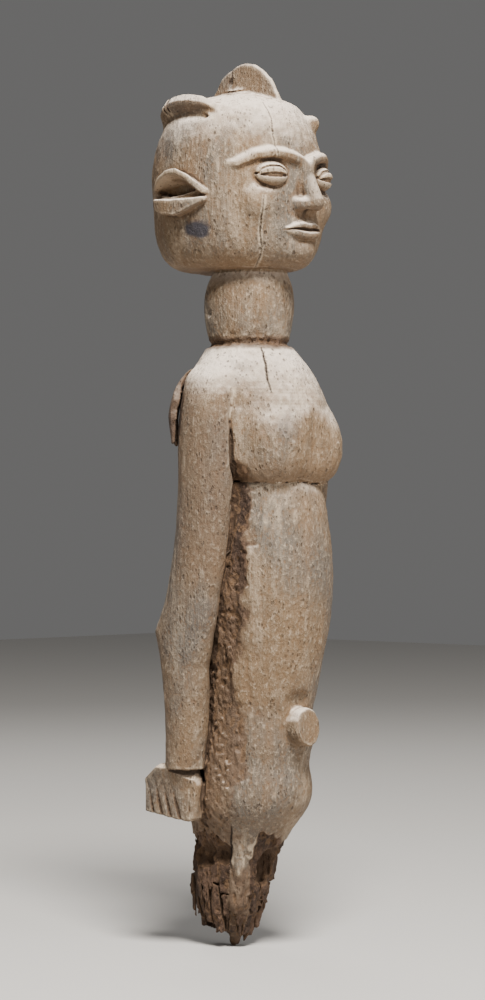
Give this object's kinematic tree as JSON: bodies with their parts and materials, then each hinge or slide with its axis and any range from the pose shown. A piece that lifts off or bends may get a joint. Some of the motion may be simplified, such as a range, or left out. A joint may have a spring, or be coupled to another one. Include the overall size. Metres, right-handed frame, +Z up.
{
  "type": "carved ancestor figure",
  "caption": "Upright wooden figure carved from one log: crested barrel head, straight arms held to a long trunk, navel peg, and a rotted stub that was set in the ground.",
  "frame": {"origin": "tip of the rotted foot that is set in the ground", "axes": "+Z up along the post, -Y the way the figure faces, -X the figure's own right side"},
  "size_m": [0.2136, 0.2307, 1.0002],
  "materials": {
    "weathered_wood": "weathered, silver-grey, dry",
    "rotten_wood": "rotted, fibrous, matte",
    "split_wood": "freshly split, warm, matte"
  },
  "bodies": {
    "root": {"head": "weathered_wood", "crown_crest": "weathered_wood", "right_side_crest": "weathered_wood", "left_side_crest": "weathered_wood", "forehead_knob": "weathered_wood", "right_ear": "weathered_wood", "left_ear": "weathered_wood", "brow_ridge": "weathered_wood", "right_eye": "weathered_wood", "left_eye": "weathered_wood", "nose": "weathered_wood", "lips": "weathered_wood", "neck": "weathered_wood", "chest": "weathered_wood", "abdomen": "weathered_wood", "hips": "weathered_wood", "navel_peg": "weathered_wood", "right_upper_arm": "weathered_wood", "right_forearm": "weathered_wood", "right_hand": "weathered_wood", "left_upper_arm": "weathered_wood", "left_forearm": "weathered_wood", "left_hand": "weathered_wood", "base_stub": "rotten_wood", "stub_splinter": "rotten_wood", "shoulder_flake": "split_wood"}
  },
  "joints": []
}
